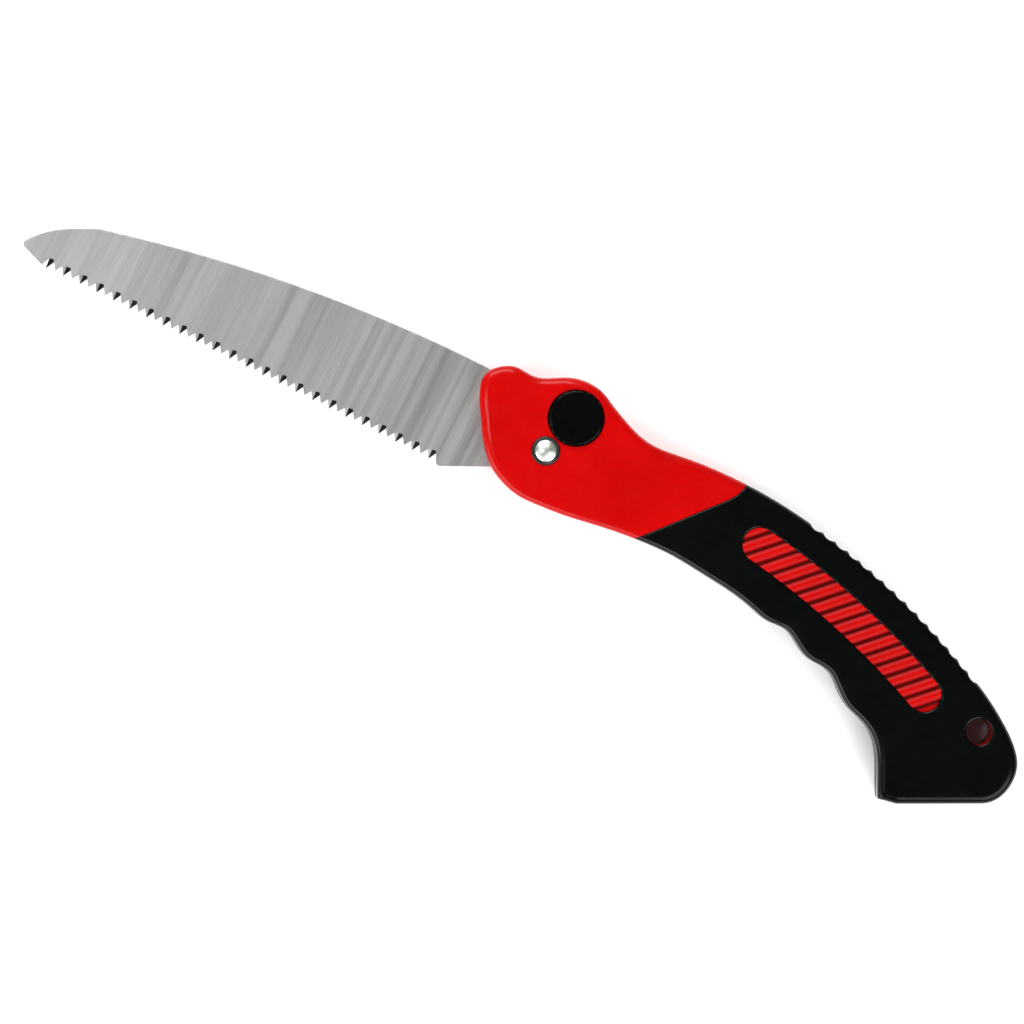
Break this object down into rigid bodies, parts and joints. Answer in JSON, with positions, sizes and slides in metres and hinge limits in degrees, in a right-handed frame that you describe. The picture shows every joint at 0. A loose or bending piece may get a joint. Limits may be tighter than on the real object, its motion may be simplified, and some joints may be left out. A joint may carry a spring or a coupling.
{
  "type": "folding pruning saw",
  "caption": "Folding saw with a toothed steel blade that turns on a domed pivot bolt, a push-button lock and a curved two-shell handle with rubber grips and ribbed inlays.",
  "frame": {"origin": "middle of the bottom of the open saw's box, on the face it lies on", "axes": "+X along the open saw from the blade's tip to the butt, +Y from the teeth to the spine and the back of the handle, +Z from the face it lies on to the button side"},
  "size_m": [0.4102, 0.0883, 0.0233],
  "materials": {
    "red_plastic": "glossy moulded red plastic with a fine moulding texture",
    "inlay_plastic": "satin red plastic, ribbed",
    "grip_rubber": "soft black rubber with a low sheen",
    "blade_steel": "ground across the blade, bright bevels on the teeth",
    "bolt_chrome": "bright plated dome",
    "black_steel": "blackened steel",
    "button_plastic": "black plastic, satin",
    "zinc_steel": "zinc-plated steel",
    "spring_steel": "tempered spring steel",
    "washer_nylon": "natural nylon"
  },
  "bodies": {
    "handle": {"front_shell": "red_plastic", "rear_shell": "red_plastic", "front_rib_inlay": "inlay_plastic", "rear_rib_inlay": "inlay_plastic", "front_grip": "grip_rubber", "rear_grip": "grip_rubber", "pivot_bolt": "bolt_chrome", "pivot_collar": "black_steel", "pivot_sleeve": "zinc_steel", "front_thrust_washer": "washer_nylon", "rear_thrust_washer": "washer_nylon", "pivot_rear_washer": "zinc_steel", "pivot_nut": "zinc_steel", "lock_spring": "spring_steel", "lock_spring_screw": "zinc_steel", "case_screws": "black_steel"},
    "blade": {"saw_blade": "blade_steel"},
    "lock_button": {"button_cap": "button_plastic", "button_stem": "zinc_steel", "button_clip": "spring_steel"}
  },
  "joints": [
    {"name": "blade_fold", "type": "hinge", "parent": "handle", "child": "blade", "pos_m": [-0.00065, 0.01492, 0.011], "axis": [0, 0, 1], "range_deg": [0, 165]},
    {"name": "button_press", "type": "slide", "parent": "handle", "child": "lock_button", "axis": [0, 0, -1], "range_m": [0, 0.0024], "stiffness_N_per_m": 2500, "springref_m": -0.001, "deforming": ["lock_spring"]}
  ]
}
